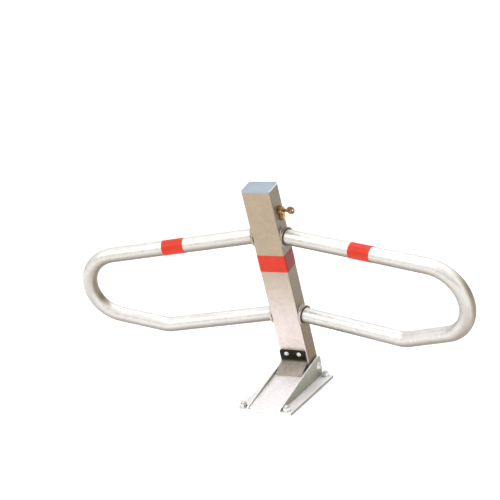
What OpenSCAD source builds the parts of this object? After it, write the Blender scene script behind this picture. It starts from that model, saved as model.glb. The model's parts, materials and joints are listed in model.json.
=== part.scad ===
// Folding parking barrier: a post on a hinge base, with two bent-tube wings
// Millimetres, +Z up, +X to the right, -Y to the front (the ramp side).
// The origin is on the ground at the centre of the four anchor holes.

/* [Base] */
// Width of the base plate
base_w = 118; // [112:1:140]
// Length of the base plate
base_l = 200; // [196:1:220]
// Thickness of the base plate
base_t = 4; // [3:0.5:6]
// Distance between anchor holes across the base
anchor_dx = 92; // [90:1:104]
// Distance between anchor holes along the base
anchor_dy = 180; // [168:1:184]
// Diameter of the anchor holes, for an M8 stud
anchor_d = 9; // [8.5:0.1:10]
// Thickness of the cheeks
cheek_t = 4; // [3:0.5:5]
// Distance between the cheeks' inner faces
cheek_gap = 64; // [63.6:0.1:66]
// Height of the cheeks' top above the ground at the rear
cheek_h = 47; // [44:0.5:52]
// Height of the cheeks above the ground at the front
cheek_front_h = 8.5; // [8:0.5:12]
// Thickness of the ramp panel
panel_t = 3; // [2:0.5:4]
// Slope of the ramp's front stretch, in degrees
ramp_front_angle = 10; // [8:0.5:10]
// Slope of the ramp's rear stretch, in degrees
ramp_rear_angle = 11; // [11:0.5:15]

/* [Pivot] */
// Distance of the pivot behind the anchor pattern's centre
pivot_y = 83; // [80:0.5:85]
// Height of the pivot above the ground
pivot_z = 28; // [27:0.5:30]
// Diameter of the pivot pin
pin_d = 10; // [8:0.5:10]
// Diameter of the sleeve that turns on the pin
sleeve_d = 16; // [15:0.5:17]
// Radial clearance of every running fit
running_gap = 0.06; // [0.03:0.01:0.09]

/* [Post] */
// Width of the post tube
post_w = 60; // [58:1:62]
// Depth of the post tube
post_d = 40; // [38:1:42]
// Wall of the post tube
post_t = 2; // [1.5:0.5:2.5]
// Length of the post above the pivot, with its cap
post_h = 407; // [400:1:430]
// Outer corner radius of the post tube
post_r = 4; // [3:0.5:5]
// Forward lean of the raised post, in degrees
lean = 13.5; // [12:0.5:15]
// Distance of the pivot behind the post's centre line
pivot_back = 4; // [3:0.5:5]
// Height of the reflective band's lower edge above the pivot
band_z = 232; // [225:1:240]
// Height of the reflective band
band_h = 36; // [30:1:45]

/* [Wings] */
// Outer diameter of the wing tube
wing_d = 30; // [28:0.5:30]
// Wall of the wing tube
wing_t = 2; // [1.5:0.5:3]
// Distance from the post's side to the centre line of the far bend
wing_reach = 376; // [360:1:390]
// Height of the upper socket above the pivot
wing_top_z = 301; // [296:1:306]
// Height of the lower socket above the pivot
wing_low_z = 126; // [120:1:130]
// Centre-line radius of the far bend
wing_bend_r = 71.5; // [68:0.5:73]
// Rise of the slanted lower run, in degrees
wing_rise = 21.5; // [20:0.5:24]
// Centre-line radius of the bend between the slanted and the level run
wing_kink_r = 45; // [40:1:60]
// Forward sweep of each wing, in degrees
wing_sweep = 11; // [8:0.5:12]
// Fall of each wing towards its tip, in degrees
wing_droop = 3.5; // [0:0.5:4]
// Diameter of the welded collar around each tube end
collar_d = 38.4; // [37:0.2:40]
// Distance that a collar stands out from the post
collar_out = 7; // [5:0.5:9]
// Distance from the post's side to the start of a wing band
wing_band_x = 145; // [130:1:160]
// Length of a wing band
wing_band_l = 45; // [35:1:55]

/* [Guard] */
// Width of the front guard
guard_w = 56; // [50:1:58]
// Thickness of the front guard
guard_t = 4; // [3:0.5:4]
// Height of the guard's bend above the pivot
guard_bend_z = 31; // [30:0.5:32]
// Height of the guard's upper edge above the pivot
guard_top_z = 55; // [54:1:58]
// Length of the guard's lower leaf
guard_leaf = 32; // [30:0.5:33]
// Slope of the lower leaf below the horizontal, in degrees
guard_angle = 28.5; // [27:0.5:30]
// Distance between the guard's two screws
guard_screw_dx = 27; // [24:1:32]
// Height of the guard's screws above the pivot
guard_screw_z = 44; // [43:0.5:46]

/* [Lock] */
// Height of the key's axis above the pivot
lock_z = 356; // [354:1:372]
// Radius of the lock's round part
lock_r = 8; // [7.5:0.5:8.5]
// Overall height of the lock's profile
lock_h = 28; // [26:0.5:30]
// Distance that the lock stands out from the post
lock_out = 8; // [5:0.5:10]
// Diameter of the latch rod
rod_d = 8; // [7:0.5:8]
// Distance from the key's axis to the crank pin
crank_r = 9; // [8:0.5:9]
// Diameter of the key's bow
bow_d = 16; // [14:1:20]

/* [Hidden] */
$fn = 64;

steel = "silver";
zinc = "lightsteelblue";
brass = "goldenrod";

// Small gaps
eps = 0.1;
stop_gap = 0.3;
weld_gap = 0.2;

// Base
cheek_x = cheek_gap / 2;
cheek_front_y = -base_l / 2 + 2;
cheek_rear_y = base_l / 2 - 3;
cheek_apex_r = 8;
cheek_apex_y = pivot_y + 4;
cheek_mid_y = -10;
cheek_mid_h = 28;
edge_r = 2;
panel_w = cheek_gap - 2 * weld_gap;
panel_front_y = -base_l / 2 + 4;
panel_rear_y = pivot_y - 45;
panel_bend_r = 120;

// Pivot
pin_r = pin_d / 2;
ear_r = 14;
washer_t = 1.4;
pivot_nut_af = 17;
pivot_nut_h = 8;
pivot_nut_gap = 0.02;
pin_end = 3;

// Post, in its own frame: the pivot is at the origin and +Z runs along the post
post_y = -pivot_back;
front_y = post_y - post_d / 2;
back_y = post_y + post_d / 2;
inner_w = post_w - 2 * post_t;
inner_d = post_d - 2 * post_t;
inner_r = post_r - post_t;
cap_t = 3;
cap_skirt_h = 12;
cap_skirt_t = 1.5;
band_t = 0.4;
band_gap = 0.05;

// Wings, in a frame at the post's side face, half-way between the sockets
wing_r = wing_d / 2;
wing_y = post_y - 1;
wing_mid_z = (wing_top_z + wing_low_z) / 2;
wing_half = (wing_top_z - wing_low_z) / 2;
wing_stub = 14;
socket_shift = wing_half * tan(wing_droop);
bend_x = wing_reach - wing_bend_r;
bend_z = wing_half - wing_bend_r;
bend_turn = 180 - wing_rise;
run_start = [bend_x + wing_bend_r * sin(wing_rise), bend_z - wing_bend_r * cos(wing_rise)];
run_drop = run_start[1] + wing_half;
kink_x = run_start[0] - run_drop / tan(wing_rise);
kink_cut = wing_kink_r * tan(wing_rise / 2);
run_l = run_drop / sin(wing_rise) - kink_cut;
bush_r = 16.5;
bush_in = 5;
bush_out = collar_out + 0.8;
joint_l = 0.6;
joint_gap = 0.1;
joint_proud = 0.02;
wing_screw_x = 23;
wing_screw_l = 9;
small_screw_r = 2.5;
small_head_r = 4.5;
small_head_h = 2.6;

// Guard
guard_in_r = 4;
guard_corner_r = 8;
guard_turn = 90 - guard_angle + lean;
guard_screw_r = 3;
guard_head_r = 5;
guard_head_h = 3;
guard_nut_af = 10;
guard_nut_h = 5;
guard_bend_c = [front_y - guard_t - guard_in_r, guard_bend_z];

// Lock and latch
lock_x = post_w / 2 + lock_out;
lock_y = post_y + 2;
lock_l = 32;
lock_tail_r = 4.5;
plug_r = 5.5;
plug_proud = 0.6;
cam_x = 2.6;
cam_t = 3;
cam_hub_r = 7;
crank_pin_r = 2.2;
crank_angle = 45;
slot_gap = 0.35;
yoke_t = 4;
yoke_h = 14;
rod_r = rod_d / 2;
rod_y = post_y - 12;
rod_tip_z = -4;
stroke = 2 * crank_r * sin(crank_angle);
yoke_z = lock_z + crank_r * sin(crank_angle);
rod_top_z = yoke_z - yoke_h / 2;
guide_t = 4;
upper_guide_z = 330;
lower_guide_z = 60;
keyway_w = 2.2;
keyway_h = 8;
key_gap = 0.1;
key_tip_x = 11;
key_shoulder_l = 8;
key_shank_h = 6;
bow_t = 2.6;
bow_hole_r = 2;
bow_x = lock_x + 1 + key_shoulder_l + bow_d / 2 - 1;

// Keeper block for the latch rod
keeper_w = 28;
keeper_y0 = pivot_y - 22.5;
keeper_y1 = pivot_y - 5;
keeper_top = 17.5;
keeper_gap = 0.4;

// Points along an arc about c, from one angle to another
bend_steps = 12;
function arc_points(c, r, a0, a1) = [
    for (i = [0:bend_steps])
        let (a = a0 + (a1 - a0) * i / bend_steps)
            c + r * [cos(a), sin(a)]
];
function reversed(list) = [for (i = [len(list) - 1:-1:0]) list[i]];

// A point of the post's frame, as [y, z] in the world
function in_world(y, z) = [
    pivot_y + y * cos(lean) - z * sin(lean),
    pivot_z + y * sin(lean) + z * cos(lean)
];

// The guard's lower rear edge comes to rest on the ramp here
function along_leaf(out, down) = [
    guard_bend_c[0] + (guard_in_r + down) * cos(guard_turn) - out * sin(guard_turn),
    guard_bend_c[1] - (guard_in_r + down) * sin(guard_turn) - out * cos(guard_turn)
];
guard_toe = along_leaf(guard_leaf, guard_t);
toe = in_world(guard_toe[0], guard_toe[1]);

// The ramp's two stretches and the bend between them, as [y, z] of the upper face
ramp_front = [panel_front_y, base_t + panel_t];
ramp_bend_y = (toe[1] - stop_gap - toe[0] * tan(ramp_rear_angle)
    - ramp_front[1] + panel_front_y * tan(ramp_front_angle))
    / (tan(ramp_front_angle) - tan(ramp_rear_angle));
ramp_bend = [ramp_bend_y, ramp_front[1] + (ramp_bend_y - panel_front_y) * tan(ramp_front_angle)];
ramp_turn = ramp_rear_angle - ramp_front_angle;
ramp_cut = panel_bend_r * tan(ramp_turn / 2);
ramp_rear_l = (panel_rear_y - ramp_bend_y) / cos(ramp_rear_angle);
function ramp_dir(a) = [cos(a), sin(a)];
function ramp_up(a) = [-sin(a), cos(a)];
ramp_c = ramp_bend - ramp_cut * ramp_dir(ramp_front_angle)
    + panel_bend_r * ramp_up(ramp_front_angle);

// The ramp's outline at a given depth below its upper face
function ramp_line(depth) = concat(
    [ramp_front - depth * ramp_up(ramp_front_angle)],
    arc_points(ramp_c, panel_bend_r + depth, ramp_front_angle - 90, ramp_rear_angle - 90),
    [ramp_bend + ramp_rear_l * ramp_dir(ramp_rear_angle) - depth * ramp_up(ramp_rear_angle)]
);

// ---- Helpers

module rounded_rect(w, d, r) {
    square([w, d - 2 * r], center = true);
    square([w - 2 * r, d], center = true);
    for (x = [-1, 1], y = [-1, 1])
        translate([x * (w / 2 - r), y * (d / 2 - r)])
            circle(r);
}

module along_x(h) {
    rotate([0, 90, 0])
        linear_extrude(h)
            children();
}

// A profile drawn as [y, z] and run along X, centred
module side_profile(w) {
    translate([-w / 2, 0, 0])
        rotate([90, 0, 90])
            linear_extrude(w)
                children();
}

module dome_head(r, h) {
    ball_r = (r * r + h * h) / (2 * h);
    intersection() {
        translate([0, 0, h - ball_r])
            sphere(ball_r, $fn = 96);
        cylinder(h = h, r = r);
    }
}

module hex_nut(af, h, bore_r) {
    difference() {
        cylinder(h = h, d = af / cos(30), $fn = 6);
        translate([0, 0, -1])
            cylinder(h = h + 2, r = bore_r);
    }
}

module mirrored_x() {
    mirror([1, 0, 0])
        children();
}

module in_post() {
    translate([0, pivot_y, pivot_z])
        rotate([lean, 0, 0])
            children();
}

module at_anchors() {
    for (x = [-1, 1], y = [-1, 1])
        translate([x * anchor_dx / 2, y * anchor_dy / 2, base_t])
            children();
}

// ---- Base

module base_plate() {
    color(steel)
        difference() {
            linear_extrude(base_t)
                rounded_rect(base_w, base_l, 3);
            at_anchors()
                translate([0, 0, -base_t - 1])
                    cylinder(h = base_t + 2, d = anchor_d);
        }
}

module cheek() {
    color(steel)
        difference() {
            translate([cheek_x + cheek_t / 2, 0, 0])
                side_profile(cheek_t)
                    hull() {
                        translate([cheek_front_y, base_t])
                            square([1, 1]);
                        translate([cheek_front_y + edge_r, cheek_front_h - edge_r])
                            circle(edge_r);
                        translate([cheek_mid_y, cheek_mid_h - edge_r])
                            circle(edge_r);
                        translate([cheek_apex_y, cheek_h - cheek_apex_r])
                            circle(cheek_apex_r);
                        translate([cheek_rear_y - 1, base_t])
                            square([1, 1]);
                    }
            translate([cheek_x - 1, pivot_y, pivot_z])
                rotate([0, 90, 0])
                    cylinder(h = cheek_t + 2, r = pin_r + eps);
        }
}

module right_cheek() {
    cheek();
}

module left_cheek() {
    mirrored_x()
        cheek();
}

module ramp_panel() {
    color(steel)
        side_profile(panel_w)
            polygon(concat(ramp_line(0), reversed(ramp_line(panel_t))));
}

module bolt_keeper() {
    color(steel)
        difference() {
            translate([-keeper_w / 2, keeper_y0, base_t])
                cube([keeper_w, keeper_y1 - keeper_y0, keeper_top - base_t]);
            in_post()
                translate([0, rod_y, rod_tip_z - stroke - 1])
                    cylinder(h = 40, r = rod_r + keeper_gap);
        }
}

module anchor_washers() {
    color(zinc)
        at_anchors()
            difference() {
                cylinder(h = 1.6, r = 8.5);
                translate([0, 0, -1])
                    cylinder(h = 4, r = 4.2);
            }
}

module anchor_nuts() {
    color(zinc)
        at_anchors()
            translate([0, 0, 1.6])
                hex_nut(13, 6.5, 4);
}

module pivot_pin() {
    head_x = cheek_x + cheek_t;
    color(zinc)
        translate([0, pivot_y, pivot_z]) {
            translate([-head_x - pivot_nut_h - pin_end, 0, 0])
                rotate([0, 90, 0])
                    cylinder(h = 2 * head_x + pivot_nut_h + pin_end, r = pin_r);
            translate([head_x, 0, 0])
                rotate([0, 90, 0])
                    difference() {
                        dome_head(8, 4);
                        translate([0, 0, 2])
                            cylinder(h = 3, r = 3, $fn = 6);
                    }
        }
}

module pivot_nut() {
    color(zinc)
        translate([-cheek_x - cheek_t, pivot_y, pivot_z])
            rotate([0, -90, 0])
                hex_nut(pivot_nut_af, pivot_nut_h, pin_r + pivot_nut_gap);
}

module thrust_washers() {
    color("dimgray")
        for (side = [-1, 1])
            translate([side * (post_w / 2 + cheek_x) / 2 - washer_t / 2, pivot_y, pivot_z])
                rotate([0, 90, 0])
                    difference() {
                        cylinder(h = washer_t, r = 10);
                        translate([0, 0, -1])
                            cylinder(h = washer_t + 2, r = pin_r + eps);
                    }
}

// ---- Post

module wing_place() {
    translate([post_w / 2, wing_y, wing_mid_z])
        rotate([0, wing_droop, -wing_sweep])
            children();
}

module at_sockets() {
    wing_place()
        for (side = [-1, 1])
            translate([-side * socket_shift, 0, side * wing_half])
                rotate([0, 90, 0])
                    children();
}

module wing_screw_places() {
    for (side = [-1, 1], z = [wing_low_z, wing_top_z])
        translate([side * wing_screw_x, back_y, z])
            rotate([90, 0, 0])
                children();
}

module lock_profile(gap) {
    circle(lock_r + gap);
    translate([-lock_h + lock_r + lock_tail_r, 0])
        circle(lock_tail_r + gap);
    translate([-lock_h + lock_r + lock_tail_r, -lock_tail_r - gap])
        square([lock_h - lock_r - lock_tail_r, 2 * (lock_tail_r + gap)]);
}

// The lock's profile run inwards from a face at x; its long axis is vertical
module lock_bar(x, l, gap) {
    translate([x - l, lock_y, lock_z])
        along_x(l)
            mirror([1, 0])
                lock_profile(gap);
}

module lock_screw_place() {
    translate([22, back_y, lock_z - lock_h + lock_r + lock_tail_r])
        rotate([90, 0, 0])
            children();
}

module post_tube() {
    tube_top = post_h - cap_t;
    color(steel)
        in_post()
            difference() {
                union() {
                    translate([0, post_y, 0])
                        linear_extrude(tube_top)
                            rounded_rect(post_w, post_d, post_r);
                    translate([-post_w / 2, 0, 0])
                        rotate([0, 90, 0])
                            cylinder(h = post_w, r = ear_r);
                }
                translate([0, post_y, -1 - ear_r])
                    linear_extrude(tube_top + ear_r + 2)
                        rounded_rect(inner_w, inner_d, inner_r);
                translate([-post_w / 2 - 1, 0, 0])
                    rotate([0, 90, 0])
                        cylinder(h = post_w + 2, r = sleeve_d / 2 + band_gap);
                for (x = [-1, 1])
                    translate([x * guard_screw_dx / 2, front_y + post_t + 1, guard_screw_z])
                        rotate([90, 0, 0])
                            cylinder(h = post_t + 2, r = guard_screw_r + eps);
                for (side = [0, 1])
                    mirror([side, 0, 0])
                        at_sockets()
                            translate([0, 0, -wing_stub])
                                cylinder(h = 2 * wing_stub, r = bush_r + eps);
                wing_screw_places()
                    translate([0, 0, -1])
                        cylinder(h = post_t + 2, r = small_screw_r + eps);
                lock_bar(post_w / 2 + 1, post_t + 2, weld_gap);
                lock_screw_place()
                    translate([0, 0, -1])
                        cylinder(h = post_t + 2, r = small_screw_r + eps);
            }
}

module post_cap() {
    color("lightsteelblue")
        in_post()
            translate([0, post_y, post_h - cap_t]) {
                linear_extrude(cap_t)
                    rounded_rect(post_w, post_d, post_r);
                translate([0, 0, -cap_skirt_h])
                    linear_extrude(cap_skirt_h)
                        difference() {
                            rounded_rect(inner_w - 2 * eps, inner_d - 2 * eps, inner_r);
                            square([inner_w - 2 * cap_skirt_t, inner_d - 2 * cap_skirt_t],
                                center = true);
                        }
            }
}

module pivot_sleeve() {
    color(steel)
        in_post()
            translate([-post_w / 2, 0, 0])
                rotate([0, 90, 0])
                    difference() {
                        cylinder(h = post_w, d = sleeve_d);
                        translate([0, 0, -1])
                            cylinder(h = post_w + 2, r = pin_r + running_gap);
                    }
}

// The guard's outline as [y, z]: an upright leaf, a bend and a lower leaf
module guard_outline() {
    polygon(concat(
        [[front_y, guard_top_z], [front_y - guard_t, guard_top_z]],
        arc_points(guard_bend_c, guard_in_r, 0, -guard_turn),
        [along_leaf(guard_leaf, 0), along_leaf(guard_leaf, guard_t)],
        reversed(arc_points(guard_bend_c, guard_in_r + guard_t, 0, -guard_turn))
    ));
}

module front_guard() {
    color("slategray")
        in_post()
            difference() {
                side_profile(guard_w)
                    guard_outline();
                for (x = [-1, 1])
                    translate([x * guard_screw_dx / 2, front_y + 1, guard_screw_z])
                        rotate([90, 0, 0])
                            cylinder(h = guard_t + 2, r = guard_screw_r + eps);
                for (side = [0, 1])
                    mirror([side, 0, 0])
                        translate([guard_w / 2 - guard_corner_r, front_y + 1,
                            guard_top_z - guard_corner_r])
                            rotate([90, 0, 0])
                                difference() {
                                    cube([guard_corner_r + 1, guard_corner_r + 1, guard_t + 2]);
                                    translate([0, 0, -1])
                                        cylinder(h = guard_t + 4, r = guard_corner_r);
                                }
            }
}

module guard_screws() {
    shank_l = guard_t + post_t + guard_nut_h;
    color(zinc)
        in_post()
            for (x = [-1, 1])
                translate([x * guard_screw_dx / 2, front_y - guard_t, guard_screw_z])
                    rotate([90, 0, 0]) {
                        dome_head(guard_head_r, guard_head_h);
                        translate([0, 0, -shank_l])
                            cylinder(h = shank_l, r = guard_screw_r);
                    }
}

module guard_nuts() {
    color(zinc)
        in_post()
            for (x = [-1, 1])
                translate([x * guard_screw_dx / 2, front_y + post_t, guard_screw_z])
                    rotate([-90, 0, 0])
                        hex_nut(guard_nut_af, guard_nut_h, guard_screw_r + pivot_nut_gap);
}

module post_band() {
    color("orangered")
        in_post()
            translate([0, post_y, band_z])
                linear_extrude(band_h)
                    difference() {
                        rounded_rect(post_w + 2 * (band_gap + band_t),
                            post_d + 2 * (band_gap + band_t), post_r + band_gap + band_t);
                        rounded_rect(post_w + 2 * band_gap,
                            post_d + 2 * band_gap, post_r + band_gap);
                    }
}

module collars() {
    color(steel)
        in_post()
            difference() {
                at_sockets()
                    difference() {
                        translate([0, 0, -wing_stub])
                            cylinder(h = wing_stub + collar_out, d = collar_d);
                        translate([0, 0, -wing_stub - 1])
                            cylinder(h = wing_stub + collar_out + 2, r = bush_r + eps);
                    }
                translate([post_w / 2 - 50, -50, 0])
                    cube([50, 100, post_h]);
            }
}

module right_collars() {
    collars();
}

module left_collars() {
    mirrored_x()
        collars();
}

module bushes() {
    color("dimgray")
        in_post()
            at_sockets()
                translate([0, 0, -bush_in])
                    difference() {
                        cylinder(h = bush_in + bush_out, r = bush_r);
                        translate([0, 0, -1])
                            cylinder(h = bush_in + bush_out + 2, r = wing_r + eps);
                    }
}

module right_bushes() {
    bushes();
}

module left_bushes() {
    mirrored_x()
        bushes();
}

// ---- Wings

module tube_ring(proud) {
    difference() {
        circle(wing_r + proud);
        circle(wing_r - wing_t - proud);
    }
}

// A straight leg from the origin along +X
module tube_leg(l) {
    rotate([0, 90, 0])
        linear_extrude(l)
            tube_ring(0);
}

// A bend about the origin in the XZ plane, from the top, turning clockwise.
// A hair-wide ring at each end joins it to the legs.
module tube_bend(r, turn) {
    rotate([-90, 0, 0])
        rotate([0, 0, -90]) {
            rotate_extrude(angle = turn)
                translate([r, 0])
                    tube_ring(0);
            for (at = [0, turn])
                rotate([0, 0, at])
                    translate([r, -joint_l / 2, 0])
                        rotate([-90, 0, 0])
                            linear_extrude(joint_l)
                                tube_ring(joint_proud);
        }
}

module wing() {
    color(steel)
        in_post()
            difference() {
                wing_place() {
                    translate([-wing_stub - socket_shift, 0, wing_half])
                        tube_leg(wing_stub + socket_shift + bend_x - joint_gap);
                    translate([bend_x, 0, bend_z])
                        tube_bend(wing_bend_r, bend_turn);
                    translate([run_start[0], 0, run_start[1]])
                        rotate([0, 180 - wing_rise, 0])
                            translate([joint_gap, 0, 0])
                                tube_leg(run_l - 2 * joint_gap);
                    translate([kink_x - kink_cut, 0, wing_kink_r - wing_half])
                        rotate([0, bend_turn, 0])
                            tube_bend(wing_kink_r, wing_rise);
                    translate([-wing_stub + socket_shift, 0, -wing_half])
                        tube_leg(wing_stub - socket_shift + kink_x - kink_cut - joint_gap);
                }
                wing_screw_places()
                    cylinder(h = wing_screw_l, r = small_screw_r + band_gap);
            }
}

module right_wing() {
    wing();
}

module left_wing() {
    mirrored_x()
        wing();
}

module wing_band() {
    color("orangered")
        in_post()
            wing_place()
                translate([wing_band_x, 0, wing_half])
                    rotate([0, 90, 0])
                        difference() {
                            cylinder(h = wing_band_l, r = wing_r + band_gap + band_t);
                            translate([0, 0, -1])
                                cylinder(h = wing_band_l + 2, r = wing_r + band_gap);
                        }
}

module right_wing_band() {
    wing_band();
}

module left_wing_band() {
    mirrored_x()
        wing_band();
}

module screw_in_back(l) {
    mirror([0, 0, 1])
        dome_head(small_head_r, small_head_h);
    cylinder(h = l, r = small_screw_r);
}

module wing_screws() {
    color(zinc)
        in_post()
            wing_screw_places()
                screw_in_back(wing_screw_l);
}

// ---- Lock and latch

module rod_guide(z) {
    color(steel)
        in_post()
            translate([0, 0, z])
                difference() {
                    translate([0, post_y, 0])
                        linear_extrude(guide_t)
                            rounded_rect(inner_w - 2 * eps, inner_d - 2 * eps, inner_r);
                    translate([0, rod_y, -1])
                        cylinder(h = guide_t + 2, r = rod_r + running_gap);
                }
}

module upper_rod_guide() {
    rod_guide(upper_guide_z);
}

module lower_rod_guide() {
    rod_guide(lower_guide_z);
}

module lock_cylinder() {
    color(brass)
        in_post()
            difference() {
                lock_bar(lock_x, lock_l, 0);
                translate([lock_x - lock_l - 1, lock_y, lock_z])
                    rotate([0, 90, 0])
                        cylinder(h = lock_l + 2, r = plug_r + running_gap);
                lock_screw_place()
                    cylinder(h = 24, r = small_screw_r + band_gap);
            }
}

module lock_screw() {
    color(zinc)
        in_post()
            lock_screw_place()
                screw_in_back(20);
}

module lock_plug() {
    plug_x = cam_x + cam_t;
    color(brass)
        in_post()
            translate([0, lock_y, lock_z])
                difference() {
                    translate([plug_x, 0, 0])
                        rotate([0, 90, 0])
                            cylinder(h = lock_x + plug_proud - plug_x, r = plug_r);
                    translate([key_tip_x - 1, -keyway_w / 2, -keyway_h / 2])
                        cube([50, keyway_w, keyway_h]);
                }
}

module lock_cam() {
    color(zinc)
        in_post()
            translate([0, lock_y, lock_z]) {
                translate([cam_x, 0, 0])
                    rotate([0, 90, 0])
                        cylinder(h = cam_t, r = cam_hub_r);
                rotate([-crank_angle, 0, 0]) {
                    translate([cam_x, -crank_r, -crank_pin_r - 1])
                        cube([cam_t, crank_r, 2 * crank_pin_r + 2]);
                    translate([cam_x, -crank_r, 0])
                        rotate([0, 90, 0])
                            cylinder(h = cam_t, r = crank_pin_r + 1);
                    translate([-yoke_t / 2, -crank_r, 0])
                        rotate([0, 90, 0])
                            cylinder(h = cam_x + yoke_t / 2, r = crank_pin_r);
                }
            }
}

module latch_rod() {
    color(zinc)
        in_post()
            translate([0, rod_y, rod_tip_z])
                cylinder(h = rod_top_z - rod_tip_z, r = rod_r);
}

module rod_yoke() {
    slot_h = 2 * (crank_pin_r + slot_gap);
    slot_y0 = lock_y - crank_r - crank_pin_r - slot_gap;
    slot_y1 = lock_y - crank_r * cos(crank_angle) + crank_pin_r + slot_gap;
    color(zinc)
        in_post()
            difference() {
                translate([-yoke_t / 2, rod_y - rod_r, rod_top_z])
                    cube([yoke_t, slot_y1 + 2 - rod_y + rod_r, yoke_h]);
                translate([-yoke_t, slot_y0, yoke_z - slot_h / 2])
                    cube([2 * yoke_t, slot_y1 - slot_y0, slot_h]);
            }
}

module key() {
    blade_w = keyway_w - 2 * key_gap;
    blade_h = keyway_h - 2 * key_gap;
    shoulder_x = lock_x + 1;
    color(brass)
        in_post()
            translate([0, lock_y, lock_z])
                difference() {
                    union() {
                        translate([key_tip_x, -blade_w / 2, -blade_h / 2])
                            cube([shoulder_x - key_tip_x, blade_w, blade_h]);
                        translate([shoulder_x, -bow_t / 2, -key_shank_h / 2])
                            cube([key_shoulder_l + 1, bow_t, key_shank_h]);
                        translate([bow_x, bow_t / 2, 0])
                            rotate([90, 0, 0])
                                cylinder(h = bow_t, d = bow_d);
                    }
                    translate([bow_x + bow_d / 4, bow_t, 0])
                        rotate([90, 0, 0])
                            cylinder(h = 2 * bow_t, r = bow_hole_r);
                }
}

base_plate();
left_cheek();
right_cheek();
ramp_panel();
bolt_keeper();
anchor_washers();
anchor_nuts();
pivot_pin();
pivot_nut();
thrust_washers();
post_tube();
post_cap();
pivot_sleeve();
front_guard();
guard_screws();
guard_nuts();
post_band();
left_collars();
right_collars();
left_bushes();
right_bushes();
left_wing();
right_wing();
left_wing_band();
right_wing_band();
wing_screws();
upper_rod_guide();
lower_rod_guide();
lock_cylinder();
lock_screw();
lock_plug();
lock_cam();
latch_rod();
rod_yoke();
key();
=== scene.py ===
import json
import math
import bmesh
import bpy
from mathutils import Matrix, Vector


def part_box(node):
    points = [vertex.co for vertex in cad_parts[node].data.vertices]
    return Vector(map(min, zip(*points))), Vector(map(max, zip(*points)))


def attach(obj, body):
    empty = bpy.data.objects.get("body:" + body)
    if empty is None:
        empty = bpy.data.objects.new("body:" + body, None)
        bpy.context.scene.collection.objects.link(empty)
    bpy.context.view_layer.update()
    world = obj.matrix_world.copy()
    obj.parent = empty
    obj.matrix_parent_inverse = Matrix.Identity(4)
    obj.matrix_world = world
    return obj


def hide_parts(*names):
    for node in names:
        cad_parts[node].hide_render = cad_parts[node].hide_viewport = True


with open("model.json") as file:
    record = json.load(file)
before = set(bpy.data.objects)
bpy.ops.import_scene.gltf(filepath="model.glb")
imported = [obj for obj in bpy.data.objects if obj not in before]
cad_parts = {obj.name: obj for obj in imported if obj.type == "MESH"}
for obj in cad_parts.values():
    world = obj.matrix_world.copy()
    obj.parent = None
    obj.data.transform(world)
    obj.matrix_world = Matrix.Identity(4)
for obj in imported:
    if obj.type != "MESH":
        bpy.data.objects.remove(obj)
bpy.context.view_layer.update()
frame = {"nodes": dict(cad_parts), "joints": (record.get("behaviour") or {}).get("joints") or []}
nodes = frame["nodes"]
mm = 0.001
print("frame loaded:", len(nodes), "parts")

# the post has its own tilted axes: its foot is at the fold's pivot, and the latch slides down it
joints = {joint["name"]: joint for joint in frame["joints"]}
pivot = Vector(joints["post_fold"]["pos_m"])
sideways = Vector((1, 0, 0))
upPost = -Vector(joints["bolt_slide"]["axis"]).normalized()
rearward = upPost.cross(sideways)


def inPost(x, y, z):
    return pivot + (sideways * x + rearward * y + upPost * z) * mm


# a part's lowest and highest corners along the post's axes, in mm
def boxInPost(node):
    points = [(vertex.co - pivot) / mm for vertex in nodes[node].data.vertices]
    spans = [[point.dot(axis) for point in points] for axis in (sideways, rearward, upPost)]
    return Vector([min(span) for span in spans]), Vector([max(span) for span in spans])


def hexColour(text):
    parts = [int(text[i:i + 2], 16) / 255 for i in (1, 3, 5)]
    return tuple(c / 12.92 if c <= 0.04045 else ((c + 0.055) / 1.055) ** 2.4 for c in parts) + (1.0,)


# camera
cameraSettings = {
    "azimuth": 29.19,
    "elevation": 15.34,
    "roll": -6.62,
    "target": (-0.0435, 0.0, 0.2928),
    "distance": 2.458,
    "lens": 91.96,
}


def makeCamera(s):
    az, el, roll = (math.radians(s[k]) for k in ("azimuth", "elevation", "roll"))
    back = Vector((math.sin(az) * math.cos(el), -math.cos(az) * math.cos(el), math.sin(el)))
    right = Vector((math.cos(az), math.sin(az), 0))
    up = back.cross(right)
    tiltedRight = right * math.cos(roll) + up * math.sin(roll)
    tiltedUp = up * math.cos(roll) - right * math.sin(roll)
    data = bpy.data.cameras.new("camera")
    data.lens = s["lens"]
    data.sensor_width = 36
    data.clip_end = 50
    camera = bpy.data.objects.new("camera", data)
    turned = Matrix((tiltedRight, tiltedUp, back)).transposed().to_4x4()
    camera.matrix_world = Matrix.Translation(Vector(s["target"]) + back * s["distance"]) @ turned
    bpy.context.scene.collection.objects.link(camera)
    bpy.context.scene.camera = camera


makeCamera(cameraSettings)
print("camera placed")


# node helper: one node with its settings, values and links
def addNode(tree, kind, inputs=None, **settings):
    node = tree.nodes.new("ShaderNode" + kind)
    for name, value in settings.items():
        setattr(node, name, value)
    for key, value in (inputs or {}).items():
        if isinstance(value, bpy.types.NodeSocket):
            tree.links.new(value, node.inputs[key])
        else:
            node.inputs[key].default_value = value
    return node


def newMaterial(name):
    material = bpy.data.materials.new(name)
    material.use_nodes = True
    material.node_tree.nodes.clear()
    return material, material.node_tree


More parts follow.
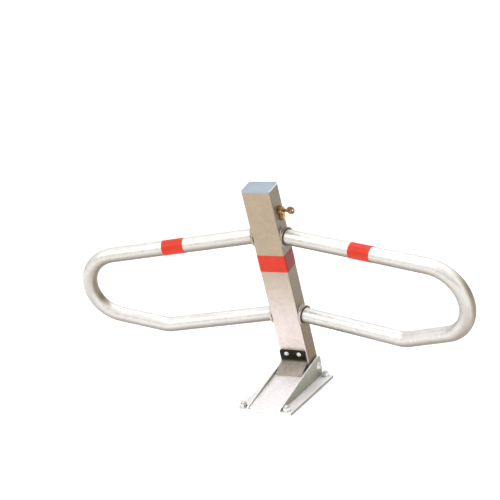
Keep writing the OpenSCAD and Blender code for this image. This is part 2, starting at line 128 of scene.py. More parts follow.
# Hot-dip galvanised mild steel: zinc crystals give faint pale and dark patches,
# with soft grey clouds where the zinc has dulled and a fine satin grain over it all.
# The light and shade colours are painted light and shade that change with height. The side colours are
# painted shade on faces turned sideways (on the cap, a painted highlight). The colour for faces turned
# downwards is painted shade.
galvanised = {
    "sheet": {"light": "#FFFBFC", "shade": "#FFFAFC", "side": "#A5A291", "sideLow": "#8F9283",
              "paintedUnderColour": "#9A958A", "paintedUnderFrom": -0.35, "spangle": 5.0, "rough": 0.44, "metallic": 0.45,
              "grind": 0.30, "relief": 0.08},
    "post": {"light": "#F0E4E0", "shade": "#AC9C86", "side": "#84796A", "sideLow": "#75634A",
             "paintedUnderColour": "#8C857A", "paintedUnderFrom": -0.35, "spangle": 7.0, "rough": 0.38, "metallic": 0.75,
             "grind": 0.10, "relief": 0.07},
    "tube": {"light": "#ECEAE7", "shade": "#E8E5DF", "side": "#94896F", "sideLow": "#8F8571",
             "paintedUnderColour": "#85796A", "paintedUnderFrom": 0.35, "spangle": 6.0, "rough": 0.40, "metallic": 0.85,
             "grind": 0.05, "relief": 0.02},
    "cap": {"light": "#A9B4C0", "shade": "#9FABB8", "side": "#E0DADA", "sideLow": "#E0DADA",
            "paintedUnderColour": "#9A9A9A", "paintedUnderFrom": -0.35, "spangle": 4.0, "rough": 0.42, "metallic": 0.55,
            "grind": 0.18, "relief": 0.06},
}

# how the zinc's marks are drawn on every galvanised piece, with sizes in mm
zincDetail = {
    "cloud": 35,
    "grain": 0.7,  # really near 0.1 mm, drawn coarser so that it shows
    "markWidth": 1.2, "markLength": 22,
    "grindWidth": 1.1, "grindRun": 26, "grindDepth": 14, "grindTurn": 0.5,
    "crystalShare": 0.35, "darkest": 0.90, "lightest": 1.06,
}


def galvanisedSteel(name, look, paintedShadeHeights):
    material, tree = newMaterial(name)
    place = addNode(tree, "TexCoord")
    here = place.outputs["Object"]
    facing = addNode(tree, "SeparateXYZ", {0: place.outputs["Normal"]})
    at = addNode(tree, "SeparateXYZ", {0: here})
    # zinc crystals, a few millimetres across
    spangle = addNode(tree, "TexVoronoi", {"Vector": here, "Scale": 1 / (look["spangle"] * mm),
                                           "Randomness": 1.0})
    crystal = addNode(tree, "SeparateColor", {0: spangle.outputs["Color"]})
    # dull clouds
    clouds = addNode(tree, "TexNoise", {"Vector": here, "Scale": 1 / (zincDetail["cloud"] * mm),
                                        "Detail": 5.0, "Roughness": 0.62})
    grain = addNode(tree, "TexNoise", {"Vector": here, "Scale": 1 / (zincDetail["grain"] * mm),
                                       "Detail": 2.0})
    # handling marks, thin across the object and long the other two ways
    markWide, markLong = 1 / (zincDetail["markWidth"] * mm), 1 / (zincDetail["markLength"] * mm)
    stretched = addNode(tree, "Mapping", {"Vector": here, "Scale": (markWide, markLong, markLong)})
    marks = addNode(tree, "TexNoise", {"Vector": stretched.outputs[0], "Scale": 1.0, "Detail": 4.0,
                                       "Roughness": 0.7})
    # grinding lines cross the other way
    lineScale = [1 / (zincDetail[k] * mm) for k in ("grindRun", "grindWidth", "grindDepth")]
    crossed = addNode(tree, "Mapping", {"Vector": here, "Scale": lineScale,
                                        "Rotation": (0.0, 0.0, zincDetail["grindTurn"])})
    ground = addNode(tree, "TexNoise", {"Vector": crossed.outputs[0], "Scale": 1.0, "Detail": 3.0,
                                        "Roughness": 0.7})
    # painted light and shade by height: the light colour low down turns into the shade colour higher up
    low, high = paintedShadeHeights
    paintedHeightMask = addNode(tree, "MapRange", {"Value": at.outputs["Z"], "From Min": low * mm,
                                      "From Max": high * mm},
                   interpolation_type="SMOOTHSTEP")
    front = addNode(tree, "Mix", {0: paintedHeightMask.outputs[0], 6: hexColour(look["light"]),
                                  7: hexColour(look["shade"])},
                    data_type="RGBA")
    # faces turned sideways take the side colours: painted shade, and a painted highlight on the cap
    paintedFlankShade = addNode(tree, "Mix", {0: paintedHeightMask.outputs[0], 6: hexColour(look["sideLow"]),
                                  7: hexColour(look["side"])},
                    data_type="RGBA")
    outward = addNode(tree, "Math", {0: facing.outputs["X"]}, operation="ABSOLUTE")
    paintedSideMask = addNode(tree, "MapRange", {"Value": outward.outputs[0], "From Min": 0.55, "From Max": 0.95},
                     interpolation_type="SMOOTHSTEP")
    body = addNode(tree, "Mix", {0: paintedSideMask.outputs[0], 6: front.outputs[2], 7: paintedFlankShade.outputs[2]},
                   data_type="RGBA")
    # faces turned downwards take a darker colour: painted shade
    paintedDownMask = addNode(tree, "MapRange", {"Value": facing.outputs["Z"], "From Min": look["paintedUnderFrom"],
                                          "From Max": -0.9},
                       interpolation_type="SMOOTHSTEP")
    paintedUnderShade = addNode(tree, "Mix", {0: paintedDownMask.outputs[0], 6: body.outputs[2], 7: hexColour(look["paintedUnderColour"])},
                     data_type="RGBA")
    patchiness = addNode(tree, "Math", {0: crystal.outputs[0], 1: zincDetail["crystalShare"],
                                        2: clouds.outputs[0]}, operation="MULTIPLY_ADD")
    tone = addNode(tree, "MapRange", {"Value": patchiness.outputs[0], "From Min": 0.35, "From Max": 0.95,
                                      "To Min": zincDetail["darkest"], "To Max": zincDetail["lightest"]})
    lined = addNode(tree, "MapRange", {"Value": ground.outputs[0], "From Min": 0.35, "From Max": 0.65,
                                       "To Min": 1.0 - 0.35 * look["grind"], "To Max": 1.0})
    both = addNode(tree, "Math", {0: tone.outputs[0], 1: lined.outputs[0]}, operation="MULTIPLY")
    zinc = addNode(tree, "VectorMath", {0: paintedUnderShade.outputs[2], 1: both.outputs[0]}, operation="MULTIPLY")
    roughness = addNode(tree, "MapRange", {"Value": patchiness.outputs[0], "From Min": 0.35, "From Max": 0.95,
                                           "To Min": look["rough"] - 0.04, "To Max": look["rough"] + 0.06})
    relief = addNode(tree, "Math", {0: marks.outputs[0], 1: 0.6, 2: grain.outputs[0]},
                     operation="MULTIPLY_ADD")
    bump = addNode(tree, "Bump", {"Height": relief.outputs[0], "Strength": look["relief"],
                                  "Distance": 0.2 * mm})
    shader = addNode(tree, "BsdfPrincipled", {
        "Base Color": zinc.outputs[0], "Metallic": look["metallic"], "Roughness": roughness.outputs[0],
        "Normal": bump.outputs[0]})
    addNode(tree, "OutputMaterial", {"Surface": shader.outputs[0]})
    return material


# Bright zinc-plated fasteners, clear passivated: pale silver with a faint blue and straw cast in patches.
def zincPlate(name, look):
    material, tree = newMaterial(name)
    here = addNode(tree, "TexCoord").outputs["Object"]
    cast = addNode(tree, "TexNoise", {"Vector": here, "Scale": 1 / (6 * mm), "Detail": 3.0})
    castMask = addNode(tree, "MapRange", {"Value": cast.outputs[0], "From Min": 0.4, "From Max": 0.62})
    colour = addNode(tree, "Mix", {0: castMask.outputs[0], 6: hexColour(look["blue"]),
                                   7: hexColour(look["straw"])},
                     data_type="RGBA")
    pits = addNode(tree, "TexNoise", {"Vector": here, "Scale": 1 / (0.5 * mm), "Detail": 2.0})
    bump = addNode(tree, "Bump", {"Height": pits.outputs[0], "Strength": 0.12, "Distance": 0.1 * mm})
    roughness = addNode(tree, "MapRange", {"Value": pits.outputs[0], "From Min": 0.3, "From Max": 0.7,
                                           "To Min": look["rough"] - 0.06, "To Max": look["rough"] + 0.08})
    shader = addNode(tree, "BsdfPrincipled", {"Base Color": colour.outputs[2], "Metallic": 0.9,
                                              "Roughness": roughness.outputs[0], "Normal": bump.outputs[0]})
    addNode(tree, "OutputMaterial", {"Surface": shader.outputs[0]})
    return material


# Rolled steel with a thin dark oxide coat: near black above and brushed grey-beige metal on the lower leaf,
# with a painted highlight of that pale metal on faces that turn upwards, such as its top edges.
def blackAbovePaleBelow(name, look):
    material, tree = newMaterial(name)
    place = addNode(tree, "TexCoord")
    here = place.outputs["Object"]
    at = addNode(tree, "SeparateXYZ", {0: here})
    facing = addNode(tree, "SeparateXYZ", {0: place.outputs["Normal"]})
    mottle = addNode(tree, "TexNoise", {"Vector": here, "Scale": 1 / (5 * mm), "Detail": 6.0,
                                        "Roughness": 0.65})
    ragged = addNode(tree, "Math", {0: mottle.outputs[0], 1: look["ragged"] * mm, 2: at.outputs["Z"]},
                     operation="MULTIPLY_ADD")
    paleBelowMask = addNode(tree, "MapRange", {"Value": ragged.outputs[0], "From Min": look["darkAboveHeight"] * mm,
                                      "From Max": look["paleBelowHeight"] * mm, "To Min": 0.0, "To Max": 1.0},
                   interpolation_type="SMOOTHSTEP")
    # faces turned upwards take the pale metal colour: a painted highlight
    upward = addNode(tree, "MapRange", {"Value": facing.outputs["Z"], "From Min": 0.55, "From Max": 0.9})
    paleBelowAndPaintedHighlight = addNode(tree, "Math", {0: paleBelowMask.outputs[0], 1: upward.outputs[0]}, operation="MAXIMUM")
    brushWide, brushLong = 1 / (0.8 * mm), 1 / (18 * mm)
    brushed = addNode(tree, "Mapping", {"Vector": here, "Scale": (brushWide, brushLong, brushLong)})
    brush = addNode(tree, "TexNoise", {"Vector": brushed.outputs[0], "Scale": 1.0, "Detail": 4.0})
    brushTone = addNode(tree, "MapRange", {"Value": brush.outputs[0], "From Min": 0.35, "From Max": 0.65})
    paleMetalColour = addNode(tree, "Mix", {0: brushTone.outputs[0], 6: hexColour(look["paleMetalDark"]),
                                       7: hexColour(look["paleMetalLight"])}, data_type="RGBA")
    coatTone = addNode(tree, "MapRange", {"Value": mottle.outputs[0], "From Min": 0.42, "From Max": 0.62})
    coatColour = addNode(tree, "Mix", {0: coatTone.outputs[0], 6: hexColour(look["coat"]),
                                       7: hexColour(look["coatWarm"])}, data_type="RGBA")
    colour = addNode(tree, "Mix", {0: paleBelowAndPaintedHighlight.outputs[0], 6: coatColour.outputs[2], 7: paleMetalColour.outputs[2]},
                     data_type="RGBA")
    roughness = addNode(tree, "MapRange", {"Value": paleBelowAndPaintedHighlight.outputs[0], "To Min": 0.32, "To Max": 0.46})
    bump = addNode(tree, "Bump", {"Height": brush.outputs[0], "Strength": 0.12, "Distance": 0.15 * mm})
    shader = addNode(tree, "BsdfPrincipled", {"Base Color": colour.outputs[2], "Metallic": 0.6,
                                              "Roughness": roughness.outputs[0], "Normal": bump.outputs[0]})
    addNode(tree, "OutputMaterial", {"Surface": shader.outputs[0]})
    return material


# Prismatic reflective sheeting: a clear-faced red film over a lattice of small sealed cells,
# which shows as a fine paler grid under a slightly glossy skin.
def prismSheeting(name, look):
    material, tree = newMaterial(name)
    place = addNode(tree, "TexCoord")
    here = place.outputs["Object"]
    facing = addNode(tree, "SeparateXYZ", {0: place.outputs["Normal"]})
    outward = addNode(tree, "Math", {0: facing.outputs["X"]}, operation="ABSOLUTE")
    paintedSideMask = addNode(tree, "MapRange", {"Value": outward.outputs[0], "From Min": 0.6, "From Max": 0.95})
    # the cells are drawn at their real size, about 3 mm
    turned = addNode(tree, "Mapping", {"Vector": here, "Rotation": (0.2, 0.785, 0.785)})
    cells = addNode(tree, "TexVoronoi", {"Vector": turned.outputs[0], "Scale": 1 / (look["cell"] * mm),
                                         "Randomness": 0.0}, feature="DISTANCE_TO_EDGE")
    wall = addNode(tree, "MapRange", {"Value": cells.outputs["Distance"], "From Min": 0.03,
                                      "From Max": 0.14})
    fade = addNode(tree, "TexNoise", {"Vector": here, "Scale": 1 / (14 * mm), "Detail": 3.0})
    faded = addNode(tree, "MapRange", {"Value": fade.outputs[0], "From Min": 0.35, "From Max": 0.7,
                                       "To Min": 0.92, "To Max": 1.05})
    film = addNode(tree, "Mix", {0: wall.outputs[0], 6: hexColour(look["wall"]),
                                 7: hexColour(look["film"])},
                   data_type="RGBA")
    # faces turned sideways take the darker side colour: painted shade
    paintedBandSideShade = addNode(tree, "Mix", {0: paintedSideMask.outputs[0], 6: film.outputs[2],
                                       7: hexColour(look["side"])},
                         data_type="RGBA")
    colour = addNode(tree, "VectorMath", {0: paintedBandSideShade.outputs[2], 1: faded.outputs[0]},
                     operation="MULTIPLY")
    bump = addNode(tree, "Bump", {"Height": wall.outputs[0], "Strength": 0.15, "Distance": 0.1 * mm})
    shader = addNode(tree, "BsdfPrincipled", {"Base Color": colour.outputs[0], "Roughness": 0.42,
                                              "IOR": 1.49, "Specular IOR Level": 0.3, "Coat Weight": 0.12,
                                              "Coat Roughness": 0.15, "Normal": bump.outputs[0]})
    addNode(tree, "OutputMaterial", {"Surface": shader.outputs[0]})
    return material


# Machined brass, handled daily: warm gold with fine turning lines, browner and duller where the air
# has got at it.
def machinedBrass(name, look):
    material, tree = newMaterial(name)
    here = addNode(tree, "TexCoord").outputs["Object"]
    tarnish = addNode(tree, "TexNoise", {"Vector": here, "Scale": 1 / (5 * mm), "Detail": 5.0})
    mask = addNode(tree, "MapRange", {"Value": tarnish.outputs[0], "From Min": 0.42, "From Max": 0.66})
    colour = addNode(tree, "Mix", {0: mask.outputs[0], 6: hexColour(look["clean"]),
                                   7: hexColour(look["dull"])},
                     data_type="RGBA")
    lineWide, lineLong = 1 / (0.5 * mm), 1 / (12 * mm)
    turning = addNode(tree, "Mapping", {"Vector": here, "Scale": (lineWide, lineLong, lineLong)})
    lines = addNode(tree, "TexNoise", {"Vector": turning.outputs[0], "Scale": 1.0, "Detail": 2.0})
    bump = addNode(tree, "Bump", {"Height": lines.outputs[0], "Strength": 0.15, "Distance": 0.1 * mm})
    roughness = addNode(tree, "MapRange", {"Value": mask.outputs[0], "To Min": look["rough"],
                                           "To Max": look["rough"] + 0.16})
    shader = addNode(tree, "BsdfPrincipled", {"Base Color": colour.outputs[2], "Metallic": 1.0,
                                              "Roughness": roughness.outputs[0], "Normal": bump.outputs[0]})
    addNode(tree, "OutputMaterial", {"Surface": shader.outputs[0]})
    return material


# Moulded black nylon: deep charcoal with a dry sheen and a faint mould grain.
def mouldedNylon(name, look):
    material, tree = newMaterial(name)
    here = addNode(tree, "TexCoord").outputs["Object"]
    # mould grain is near 0.2 mm, drawn at 0.6 mm
    grain = addNode(tree, "TexNoise", {"Vector": here, "Scale": 1 / (0.6 * mm), "Detail": 3.0})
    mask = addNode(tree, "MapRange", {"Value": grain.outputs[0], "From Min": 0.4, "From Max": 0.65})
    colour = addNode(tree, "Mix", {0: mask.outputs[0], 6: hexColour(look["deep"]),
                                   7: hexColour(look["dusty"])},
                     data_type="RGBA")
    bump = addNode(tree, "Bump", {"Height": grain.outputs[0], "Strength": 0.2, "Distance": 0.1 * mm})
    shader = addNode(tree, "BsdfPrincipled", {"Base Color": colour.outputs[2], "Roughness": 0.52,
                                              "IOR": 1.53, "Normal": bump.outputs[0]})
    addNode(tree, "OutputMaterial", {"Surface": shader.outputs[0]})
    return material


# Weld bead, left as laid and then dipped: dull silver ripples with browner troughs.
def dippedWeld(name, look):
    material, tree = newMaterial(name)
    here = addNode(tree, "TexCoord").outputs["Object"]
    spatter = addNode(tree, "TexNoise", {"Vector": here, "Scale": 1 / (2.5 * mm), "Detail": 4.0})
    mask = addNode(tree, "MapRange", {"Value": spatter.outputs[0], "From Min": 0.4, "From Max": 0.65})
    colour = addNode(tree, "Mix", {0: mask.outputs[0], 6: hexColour(look["zinc"]),
                                   7: hexColour(look["scale"])},
                     data_type="RGBA")
    bump = addNode(tree, "Bump", {"Height": spatter.outputs[0], "Strength": 0.3, "Distance": 0.2 * mm})
    shader = addNode(tree, "BsdfPrincipled", {"Base Color": colour.outputs[2], "Metallic": 0.8,
                                              "Roughness": 0.45, "Normal": bump.outputs[0]})
    addNode(tree, "OutputMaterial", {"Surface": shader.outputs[0]})
    return material


baseZinc = galvanisedSteel("galvanisedSheet", galvanised["sheet"], (5, 60))
postZinc = galvanisedSteel("galvanisedPostTube", galvanised["post"], (60, 300))
tubeZinc = galvanisedSteel("galvanisedWingTube", galvanised["tube"], (100, 340))
capZinc = galvanisedSteel("galvanisedCap", galvanised["cap"], (400, 440))
fastenerZinc = zincPlate("zincPlatedFasteners", {"blue": "#DCE2EA", "straw": "#E2DCCB", "rough": 0.26})
guardCoat = blackAbovePaleBelow("blackAbovePaleBelowGuard", {
    "coat": "#120D0A", "coatWarm": "#33261B", "paleMetalDark": "#9E978A", "paleMetalLight": "#C6BFB4",
    "darkAboveHeight": 57, "paleBelowHeight": 36, "ragged": 5})
# the band's side colour is painted shade on its sideways faces
bandFilm = prismSheeting("prismaticRedSheeting", {"film": "#CB2003", "wall": "#D23A14", "side": "#7C1402",
                                                  "cell": 3.0})
lockBrass = machinedBrass("machinedLockBrass", {"clean": "#CDAE74", "dull": "#8A6C3C", "rough": 0.30})
keyBrass = machinedBrass("machinedKeyBrass", {"clean": "#9E7C54", "dull": "#5F4429", "rough": 0.28})
blackNylon = mouldedNylon("mouldedBlackNylon", {"deep": "#0B0B0C", "dusty": "#222120"})
weldMetal = dippedWeld("dippedWeldBead", {"zinc": "#D5D3D0", "scale": "#948A7C"})
print("materials made")

slotMaterials = {
    "galvanised_steel": baseZinc, "galvanised_post": postZinc, "galvanised_tube": tubeZinc,
    "cap_steel": capZinc, "dark_steel": guardCoat, "zinc_fasteners": fastenerZinc,
    "black_nylon": blackNylon, "reflective_red": bandFilm, "lock_brass": lockBrass, "key_brass": keyBrass,
}
nodeSlots = {
    "galvanised_steel": ["base_plate", "left_cheek", "right_cheek", "ramp_panel", "bolt_keeper"],
    "galvanised_post": ["post_tube", "pivot_sleeve", "left_collars", "right_collars", "upper_rod_guide",
                        "lower_rod_guide"],
    "galvanised_tube": ["left_wing", "right_wing"],
    "cap_steel": ["post_cap"],
    "dark_steel": ["front_guard"],
    "zinc_fasteners": ["anchor_washers", "anchor_nuts", "pivot_pin", "pivot_nut", "guard_screws",
                       "guard_nuts", "wing_screws", "lock_screw", "lock_cam", "latch_rod", "rod_yoke"],
    "black_nylon": ["thrust_washers", "left_bushes", "right_bushes"],
    "reflective_red": ["post_band", "left_wing_band", "right_wing_band"],
    "lock_brass": ["lock_cylinder", "lock_plug"],
    "key_brass": ["key"],
}
for slotName, names in nodeSlots.items():
    for name in names:
        nodes[name].data.materials.clear()
        nodes[name].data.materials.append(slotMaterials[slotName])
print("parts painted")


def meshObject(name, mesh, material):
    piece = bpy.data.objects.new(name, mesh)
    bpy.context.scene.collection.objects.link(piece)
    mesh.materials.clear()
    mesh.materials.append(material)
    return piece


def addPiece(name, work, material, body):
    mesh = bpy.data.meshes.new(name)
    bmesh.ops.recalc_face_normals(work, faces=work.faces)
    for face in work.faces:
        face.smooth = True
    work.to_mesh(mesh)
    work.free()
    mesh.set_sharp_from_angle(angle=math.radians(35))
    piece = meshObject(name, mesh, material)
    if body:
        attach(piece, body)
    return piece


# a path resampled so that its points are evenly spaced
def evenPath(points, step, closed):
    corners = list(points) + ([points[0]] if closed else [])
    spans = [(b - a).length for a, b in zip(corners, corners[1:])]
    count = max(3, round(sum(spans) / step))
    even, index, done = [], 0, 0.0
    for k in range(count if closed else count + 1):
        want = sum(spans) * k / count
        while index < len(spans) - 1 and done + spans[index] < want:
            done += spans[index]
            index += 1
        share = min(1.0, (want - done) / max(spans[index], 1e-9))
        even.append(corners[index].lerp(corners[index + 1], share))
    return even


# a round cord swept along a path, with laid ripples if it is a weld
def sweepCord(points, radius, ripple, pitch, closed, upward, sides=8):
    step = pitch / 5 if ripple else 1.0 * mm
    path = evenPath(points, step, closed)
    work = bmesh.new()
    rings = []
    for k, centre in enumerate(path):
        ahead = path[(k + 1) % len(path)] if closed else path[min(k + 1, len(path) - 1)]
        behind = path[k - 1] if closed or k else path[0]
        along = (ahead - behind).normalized()
        across = along.cross(upward).normalized()
        lift = across.cross(along)
        phase = (k * step / pitch) % 1.0
        here = radius * (1 + ripple * (phase - 0.5))
        rings.append([work.verts.new(centre + (across * math.cos(a) + lift * math.sin(a)) * here)
                      for a in (2 * math.pi * i / sides for i in range(sides))])
    pairs = list(zip(rings, rings[1:])) + ([(rings[-1], rings[0])] if closed else [])
    for one, two in pairs:
        for i in range(sides):
            j = (i + 1) % sides
            work.faces.new((one[i], one[j], two[j], two[i]))
    if not closed:
        work.faces.new(rings[0])
        work.faces.new(rings[-1])
    return work


# weld beads
welds = {"footRadius": 1.2, "collarRadius": 1.1, "capRadius": 0.45, "pitch": 1.7, "ripple": 0.28,
         "capPitch": 1.4, "capRipple": 0.2, "collarSteps": 72}
cheekFoot = {"out": 0.2, "up": 0.4, "short": 3}  # where the bead lies from the cheek's foot and ends
cheekLow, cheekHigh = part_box("right_cheek")
for side, sideName in ((1, "right"), (-1, "left")):
    x, z = side * (cheekHigh.x + cheekFoot["out"] * mm), cheekLow.z + cheekFoot["up"] * mm
    line = [Vector((x, cheekLow.y + cheekFoot["short"] * mm, z)),
            Vector((x, cheekHigh.y - cheekFoot["short"] * mm, z))]
    bead = sweepCord(line, welds["footRadius"] * mm, welds["ripple"], welds["pitch"] * mm, False,
                     Vector((0, 0, 1)))
    addPiece(sideName + "_cheek_weld", bead, weldMetal, "base")

socket = {"sweep": -11, "droop": 3.5, "half": 87.5, "midZ": 213.5, "y": -5, "radius": 19.4}
tubeLow, tubeHigh = boxInPost("post_tube")
wallX = tubeHigh.x


def socketPoint(u, v, w, side):
    d, s = math.radians(socket["droop"]), math.radians(socket["sweep"])
    x1 = u * math.cos(d) + w * math.sin(d)
    z1 = w * math.cos(d) - u * math.sin(d)
    x2 = x1 * math.cos(s) - v * math.sin(s)
    y2 = x1 * math.sin(s) + v * math.cos(s)
    return side * (x2 + wallX), y2 + socket["y"], z1 + socket["midZ"]


for side, sideName in ((1, "right"), (-1, "left")):
    for level, levelName in ((1, "upper"), (-1, "lower")):
        shift = -level * socket["half"] * math.tan(math.radians(socket["droop"]))
        ring = []
        for i in range(welds["collarSteps"]):
            a = 2 * math.pi * i / welds["collarSteps"]
            v, w = socket["radius"] * math.cos(a), level * socket["half"] + socket["radius"] * math.sin(a)
            near, far = (Vector(socketPoint(shift + u, v, w, side)) for u in (-20, 20))
            t = (side * wallX - near.x) / (far.x - near.x)
            ring.append(inPost(*near.lerp(far, t)))
        bead = sweepCord(ring, welds["collarRadius"] * mm, welds["ripple"], welds["pitch"] * mm, True,
                         Vector((1, 0, 0)))
        addPiece(sideName + "_" + levelName + "_collar_weld", bead, weldMetal, "post")


# a rounded rectangle in the post's own plan, at one height
def postLoop(halfW, front, rear, corner, z):
    loop = []
    for cx, cy, start in ((halfW - corner, rear - corner, 0), (corner - halfW, rear - corner, 90),
                          (corner - halfW, front + corner, 180), (halfW - corner, front + corner, 270)):
        for i in range(7):
            a = math.radians(start + 15 * i)
            loop.append(inPost(cx + corner * math.cos(a), cy + corner * math.sin(a), z))
    return loop


capEdge = {"inset": 0.2, "corner": 4}
capLow, capHigh = boxInPost("post_cap")
capJoint = postLoop(capHigh.x - capEdge["inset"], capLow.y + capEdge["inset"], capHigh.y - capEdge["inset"],
                    capEdge["corner"], tubeHigh.z)
bead = sweepCord(capJoint, welds["capRadius"] * mm, welds["capRipple"], welds["capPitch"] * mm, True, upPost)
addPiece("cap_weld", bead, weldMetal, "post")
print("welds laid")

# black gasket where the lock comes through the post's side
gasket = {"radius": 8.2, "tailRadius": 4.7, "tailDown": 15.5, "out": 0.3, "cord": 0.7}
lockAxis = Vector(joints["key_turn"]["pos_m"]) - pivot
lockY, lockZ = lockAxis.dot(rearward) / mm, lockAxis.dot(upPost) / mm
gasketX = wallX + gasket["out"]
outline = []
shoulder = math.degrees(math.asin(gasket["tailRadius"] / gasket["radius"]))
for i in range(25):
    a = math.radians(-90 + shoulder + (360 - 2 * shoulder) * i / 24)
    outline.append(inPost(gasketX, lockY + gasket["radius"] * math.cos(a),
                          lockZ + gasket["radius"] * math.sin(a)))
for i in range(13):
    a = math.radians(180 + 15 * i)
    outline.append(inPost(gasketX, lockY + gasket["tailRadius"] * math.cos(a),
                          lockZ - gasket["tailDown"] + gasket["tailRadius"] * math.sin(a)))
addPiece("lock_gasket", sweepCord(outline, gasket["cord"] * mm, 0, 1, True, Vector((1, 0, 0))),
         blackNylon, "post")

# key: its tip and its bow's far edge are where the part has them, and its shoulder stands off the lock
keyLow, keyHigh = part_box("key")
keyShape = {
    "tip": keyLow.x / mm, "shoulder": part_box("lock_cylinder")[1].x / mm + 1, "bowX": keyHigh.x / mm - 8,
    "neck": 8.6, "waist": 5, "flare": 11, "bowHalf": 1.3, "holeOut": 4, "holeR": 2.0,
    "bladeHalfT": 0.95, "bladeHalfH": 3.8, "cuts": (1.6, 2.6, 1.1, 2.2, 1.5), "cutPitch": 3.6, "edge": 0.12,
}


def lathe(profile, steps, turned):
    work = bmesh.new()
    rings = []
    for radius, level in profile:
        if radius < 1e-9:
            rings.append([work.verts.new(turned(0, 0, level))])
            continue
        rings.append([work.verts.new(turned(radius * math.cos(a), radius * math.sin(a), level))
                      for a in (2 * math.pi * i / steps for i in range(steps))])
    for one, two in zip(rings, rings[1:]):
        for i in range(steps):
            j = (i + 1) % steps
            if len(one) == 1:
                work.faces.new((one[0], two[i], two[j]))
            elif len(two) == 1:
                work.faces.new((one[i], one[j], two[0]))
            else:
                work.faces.new((one[i], one[j], two[j], two[i]))
    bmesh.ops.recalc_face_normals(work, faces=work.faces)
    return work


def plate(outline, half):
    work = bmesh.new()
    one = [work.verts.new((x, -half, z)) for x, z in outline]
    two = [work.verts.new((x, half, z)) for x, z in outline]
    work.faces.new(one)
    work.faces.new(list(reversed(two)))
    for i in range(len(outline)):
        j = (i + 1) % len(outline)
        work.faces.new((one[i], two[i], two[j], one[j]))
    bmesh.ops.recalc_face_normals(work, faces=work.faces)
    return work


def plainObject(name, work):
    mesh = bpy.data.meshes.new(name)
    work.to_mesh(mesh)
    work.free()
    piece = bpy.data.objects.new(name, mesh)
    bpy.context.scene.collection.objects.link(piece)
    return piece


def makeKey(k):
    half = k["bowHalf"]
    # rings pressed into both faces of the bow
    face = [(0, half), (3.6, half), (3.9, half - 0.35), (4.5, half - 0.35), (4.8, half), (6.2, half),
            (6.5, half - 0.3), (6.9, half - 0.3), (7.1, half), (7.6, half - 0.15), (8.0, half - 0.7)]
    profile = face + [(r, -z) for r, z in reversed(face)]
    bow = plainObject("bowBlank", lathe(profile, 48, lambda p, q, level: (k["bowX"] + p, level, q)))
    hole = plainObject("bowHole", lathe([(0, -3), (k["holeR"], -3), (k["holeR"], 3), (0, 3)], 28,
                                        lambda p, q, level: (k["bowX"] + k["holeOut"] + p, level, q)))
    # the shank is a collar at the lock, a waist, and a flare into the bow
    along = ((0, 2.9), (1.2, 3.5), (k["waist"], 2.7), (k["neck"], 3.6), (k["flare"], 4.2))
    edge = [(k["shoulder"] + out, z) for out, z in along]
    shank = plainObject("shank", plate([(x, -z) for x, z in edge] + edge[::-1], half * 0.96))
    low, high = -k["bladeHalfH"], k["bladeHalfH"]
    blade = [(k["tip"], 0.6), (k["tip"] + 2.4, low), (k["tip"] + 3.4, low)]
    start = k["tip"] + 4.6
    for i, depth in enumerate(k["cuts"]):
        x = start + k["cutPitch"] * i
        blade += [(x, low + depth), (x + 1.0, low + depth), (x + 2.2, low + 0.4)]
    blade += [(start + k["cutPitch"] * len(k["cuts"]), low), (k["shoulder"] + 1, low),
              (k["shoulder"] + 1, high), (k["tip"] + 2.6, high)]
    blade = plainObject("blade", plate(blade, k["bladeHalfT"]))
    for other, how in ((hole, "DIFFERENCE"), (shank, "UNION"), (blade, "UNION")):
        cut = bow.modifiers.new("cut", "BOOLEAN")
        cut.object, cut.operation, cut.solver = other, how, "EXACT"
    softEdges = bow.modifiers.new("softEdges", "BEVEL")
    softEdges.width, softEdges.segments = k["edge"], 2
    softEdges.limit_method, softEdges.angle_limit = "ANGLE", math.radians(50)
    ready = bow.evaluated_get(bpy.context.evaluated_depsgraph_get())
    mesh = bpy.data.meshes.new_from_object(ready)
    for vertex in mesh.vertices:
        x, y, z = vertex.co
        vertex.co = inPost(x, lockY + y, lockZ + z)
    mesh.shade_smooth()
    mesh.set_sharp_from_angle(angle=math.radians(30))
    for spare in (bow, hole, shank, blade):
        bpy.data.objects.remove(spare)
    key = meshObject("cut_key", mesh, keyBrass)
    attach(key, "key")
    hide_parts("key")


makeKey(keyShape)
print("key cut")

# ground studs with rolled threads and domed ends, which stand in the ground and not in the part
stud = {"radius": 3.9, "above": 4.1, "pitch": 1.25, "threadDepth": 0.45, "washerRadius": 8.5}
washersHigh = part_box("anchor_washers")[1] / mm
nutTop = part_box("anchor_nuts")[1].z / mm
studX, studY = washersHigh.x - stud["washerRadius"], washersHigh.y - stud["washerRadius"]
studBottom, studTop = nutTop - 0.1, nutTop + stud["above"]
for sx in (-1, 1):
    for sy in (-1, 1):
        profile = [(0, studBottom - 1), (stud["radius"], studBottom - 1)]
        z = studBottom
        while z < studTop - 1.0:
            profile += [(stud["radius"] - stud["threadDepth"], z), (stud["radius"], z + stud["pitch"] / 2)]
            z += stud["pitch"]
        profile += [(stud["radius"] - 0.3, studTop - 0.7), (2.6, studTop - 0.15), (1.2, studTop),
                    (0, studTop)]
        foot = Vector((sx * studX, sy * studY, 0))
        work = lathe(profile, 32, lambda p, q, level: (foot + Vector((p, q, level))) * mm)
        name = "ground_stud_" + ("r" if sx > 0 else "l") + ("b" if sy > 0 else "f")
        addPiece(name, work, fastenerZinc, None)

# studio: a wide pale floor, an even white surround and large soft boxes
studio = {"floorSize": 12.0, "floorDrop": 0.0006, "floor": "#FBFBFB", "surround": 1.08, "view": "Standard"}


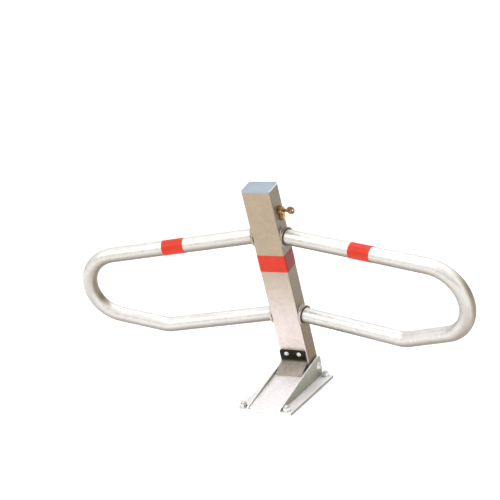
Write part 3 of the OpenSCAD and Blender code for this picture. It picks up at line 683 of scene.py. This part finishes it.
def makeFloor():
    work = bmesh.new()
    bmesh.ops.create_grid(work, x_segments=8, y_segments=8, size=studio["floorSize"] / 2)
    material, tree = newMaterial("paleFloor")
    here = addNode(tree, "TexCoord").outputs["Object"]
    soft = addNode(tree, "TexNoise", {"Vector": here, "Scale": 3.0})
    colour = addNode(tree, "Mix", {0: soft.outputs[0], 6: hexColour(studio["floor"]),
                                   7: hexColour("#FFFFFF")},
                     data_type="RGBA")
    shader = addNode(tree, "BsdfPrincipled", {"Base Color": colour.outputs[2], "Roughness": 0.9})
    addNode(tree, "OutputMaterial", {"Surface": shader.outputs[0]})
    floor = addPiece("floor", work, material, None)
    floor.location = (0, 0, -studio["floorDrop"])


def makeSurround():
    world = bpy.data.worlds.new("surround")
    bpy.context.scene.world = world
    world.use_nodes = True
    tree = world.node_tree
    tree.nodes.clear()
    direction = addNode(tree, "SeparateXYZ", {0: addNode(tree, "TexCoord").outputs["Generated"]})
    height = addNode(tree, "MapRange", {"Value": direction.outputs["Z"], "From Min": -0.05, "From Max": 0.8,
                                        "To Min": 0.45, "To Max": 1.0}, interpolation_type="SMOOTHSTEP")
    # mirrors see a dimmer room than the floor is lit by, and the room itself looks white
    seen = addNode(tree, "LightPath")
    lit = addNode(tree, "Mix", {0: seen.outputs["Is Glossy Ray"], 2: studio["surround"],
                                3: height.outputs[0]})
    strength = addNode(tree, "Mix", {0: seen.outputs["Is Camera Ray"], 2: lit.outputs[0], 3: 1.6})
    back = addNode(tree, "Background", {"Color": hexColour("#FFFFFF"), "Strength": strength.outputs[0]})
    addNode(tree, "OutputWorld", {"Surface": back.outputs[0]})


softBoxes = {
    "mainLeft": {"at": (-1.6, -2.2, 2.2), "size": 1.8, "power": 20, "colour": "#FFF8F0"},
    "overhead": {"at": (0.2, 0.3, 2.6), "size": 2.2, "power": 24, "colour": "#F4F8FF"},
    "rightFill": {"at": (2.4, -1.2, 1.2), "size": 1.4, "power": 5, "colour": "#FFF2E2"},
}


def makeSoftBox(name, box):
    data = bpy.data.lights.new(name, "AREA")
    data.shape = "SQUARE"
    data.size = box["size"]
    data.energy = box["power"]
    data.color = hexColour(box["colour"])[:3]
    lamp = bpy.data.objects.new(name, data)
    lamp.location = box["at"]
    lamp.rotation_euler = (Vector((0, 0, 0.2)) - Vector(box["at"])).to_track_quat("-Z", "Y").to_euler()
    bpy.context.scene.collection.objects.link(lamp)


makeFloor()
makeSurround()
for name, box in softBoxes.items():
    makeSoftBox(name, box)
bpy.context.scene.view_settings.view_transform = studio["view"]
print("studio ready")
